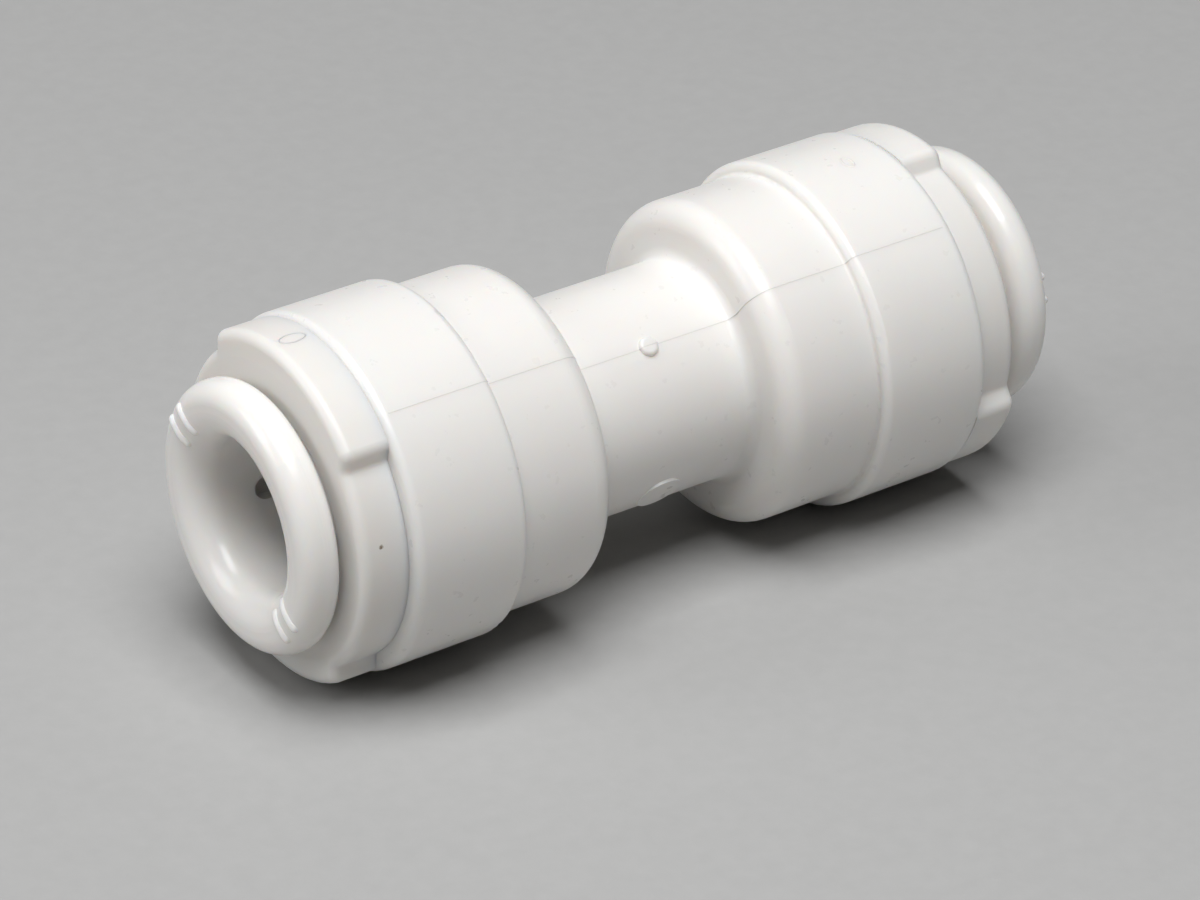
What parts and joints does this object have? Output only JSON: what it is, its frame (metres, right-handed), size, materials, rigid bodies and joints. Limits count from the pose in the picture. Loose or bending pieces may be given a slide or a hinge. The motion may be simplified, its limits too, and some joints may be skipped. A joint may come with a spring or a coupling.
{
  "type": "plastic quick disconnect coupling",
  "caption": "Straight push-fit coupling that joins two equal plastic tubes: a waisted white body with a castellated cap and a sliding release collet at each end.",
  "frame": {"origin": "centre of the underside, where the lower collet's round flange stands on a table", "axes": "+Z along the tubes' common axis, towards the upper mouth; +X through the gate mark and the mould's parting line"},
  "size_m": [0.015, 0.015, 0.0371],
  "materials": {
    "moulded_body": "glossy white moulded acetal, slightly warm",
    "moulded_cap": "glossy white moulded acetal",
    "moulded_collet": "glossy white moulded acetal, polished round flange",
    "spacer_plastic": "white moulded acetal",
    "seal_rubber": "matte black EPDM rubber",
    "tooth_steel": "stainless spring steel"
  },
  "bodies": {
    "coupling": {"coupling_body": "moulded_body", "upper_cap": "moulded_cap", "lower_cap": "moulded_cap", "upper_o_ring": "seal_rubber", "lower_o_ring": "seal_rubber", "upper_spacer": "spacer_plastic", "lower_spacer": "spacer_plastic"},
    "upper_release": {"upper_collet": "moulded_collet", "upper_tooth_1": "tooth_steel", "upper_tooth_2": "tooth_steel", "upper_tooth_3": "tooth_steel", "upper_tooth_4": "tooth_steel", "upper_tooth_5": "tooth_steel", "upper_tooth_6": "tooth_steel"},
    "lower_release": {"lower_collet": "moulded_collet", "lower_tooth_1": "tooth_steel", "lower_tooth_2": "tooth_steel", "lower_tooth_3": "tooth_steel", "lower_tooth_4": "tooth_steel", "lower_tooth_5": "tooth_steel", "lower_tooth_6": "tooth_steel"}
  },
  "joints": [
    {"name": "upper_collet_slide", "type": "slide", "parent": "coupling", "child": "upper_release", "axis": [0, 0, 1], "range_m": [-0.00017, 0.00098]},
    {"name": "lower_collet_slide", "type": "slide", "parent": "coupling", "child": "lower_release", "axis": [0, 0, -1], "range_m": [-0.00115, 0]}
  ]
}
